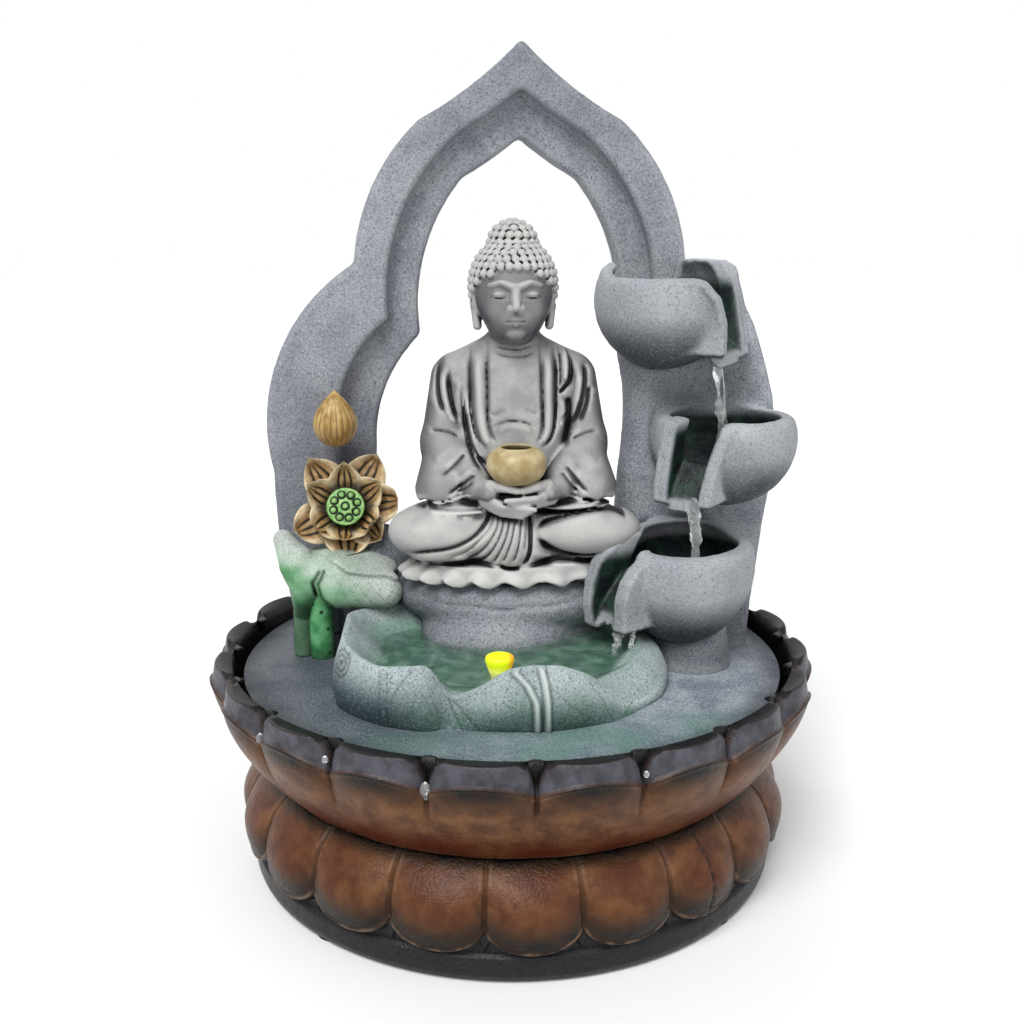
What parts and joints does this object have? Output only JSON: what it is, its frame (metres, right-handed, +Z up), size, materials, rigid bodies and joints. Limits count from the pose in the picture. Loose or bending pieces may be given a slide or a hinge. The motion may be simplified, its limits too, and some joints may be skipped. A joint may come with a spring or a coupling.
{
  "type": "tabletop water fountain",
  "caption": "Round tabletop fountain: lotus-petal basin on a petal plinth, with a lift-off scene of a pointed arch, cascade bowls, leaf pond and seated figure, fed by a pump in its well.",
  "frame": {"origin": "on the table, at the axis of the round plinth", "axes": "+Z up along the plinth's axis, -Y to the front, +X to the right of someone facing the fountain"},
  "size_m": [0.2072, 0.2072, 0.2775],
  "materials": {
    "petal_copper": "painted resin, satin",
    "granite": "cast resin stone, matt speckle",
    "figure_grey": "cast resin stone, smooth with dark wash",
    "alms_gold": "painted resin, satin",
    "flower_gold": "painted resin, dry-brushed",
    "pod_green": "painted resin",
    "bud_ochre": "painted resin",
    "leaf_green": "painted resin fading to grey",
    "pond_grey_green": "cast resin stone, green wash",
    "pump_black": "moulded",
    "rubber_black": "moulded",
    "hose_clear": "clear silicone",
    "shaft_white": "ground",
    "magnet_grey": "sintered",
    "lens_yellow": "tinted, lit",
    "water": "clear water"
  },
  "bodies": {
    "base": {"lower_plinth": "petal_copper", "rubber_feet": "rubber_black", "upper_basin": "petal_copper", "cord_grommet": "rubber_black", "pump_housing": "pump_black", "pump_seal_ring": "rubber_black", "pump_volute_cover": "pump_black", "rotor_shaft": "shaft_white", "rotor_bushes": "rubber_black", "pump_suction_cups": "rubber_black", "led_socket": "pump_black"},
    "rotor": {"pump_rotor": "magnet_grey"},
    "strainer": {"pump_strainer": "pump_black"},
    "regulator": {"flow_regulator": "pump_black"},
    "scene": {"deck_plate": "granite", "niche_arch": "granite", "cascade_pillar": "granite", "top_bowl": "granite", "middle_bowl": "granite", "lower_bowl": "granite", "riser_hose": "hose_clear", "hose_outlet": "pump_black", "figure_pedestal": "granite", "seated_figure": "figure_grey", "alms_bowl": "alms_gold", "lotus_pond": "pond_grey_green", "led_holder": "pump_black", "led_lens": "lens_yellow", "led_lead": "rubber_black", "led_plug": "rubber_black", "lead_clips": "pump_black", "lotus_leaf": "leaf_green", "leaf_stem": "leaf_green", "lotus_flower": "flower_gold", "lotus_seed_pod": "pod_green", "lotus_bud": "bud_ochre"}
  },
  "joints": [
    {"name": "scene_lift", "type": "slide", "parent": "base", "child": "scene", "axis": [0, 0, 1], "range_m": [0, 0.08]},
    {"name": "rotor_spin", "type": "hinge", "parent": "base", "child": "rotor", "pos_m": [0.048, 0.02, 0.043], "axis": [0, 1, 0], "continuous": true},
    {"name": "strainer_pull", "type": "slide", "parent": "base", "child": "strainer", "axis": [0, -1, 0], "range_m": [0, 0.015]},
    {"name": "regulator_turn", "type": "hinge", "parent": "strainer", "child": "regulator", "pos_m": [0.048, 0.004, 0.043], "axis": [0, -1, 0], "range_deg": [0, 180]}
  ]
}
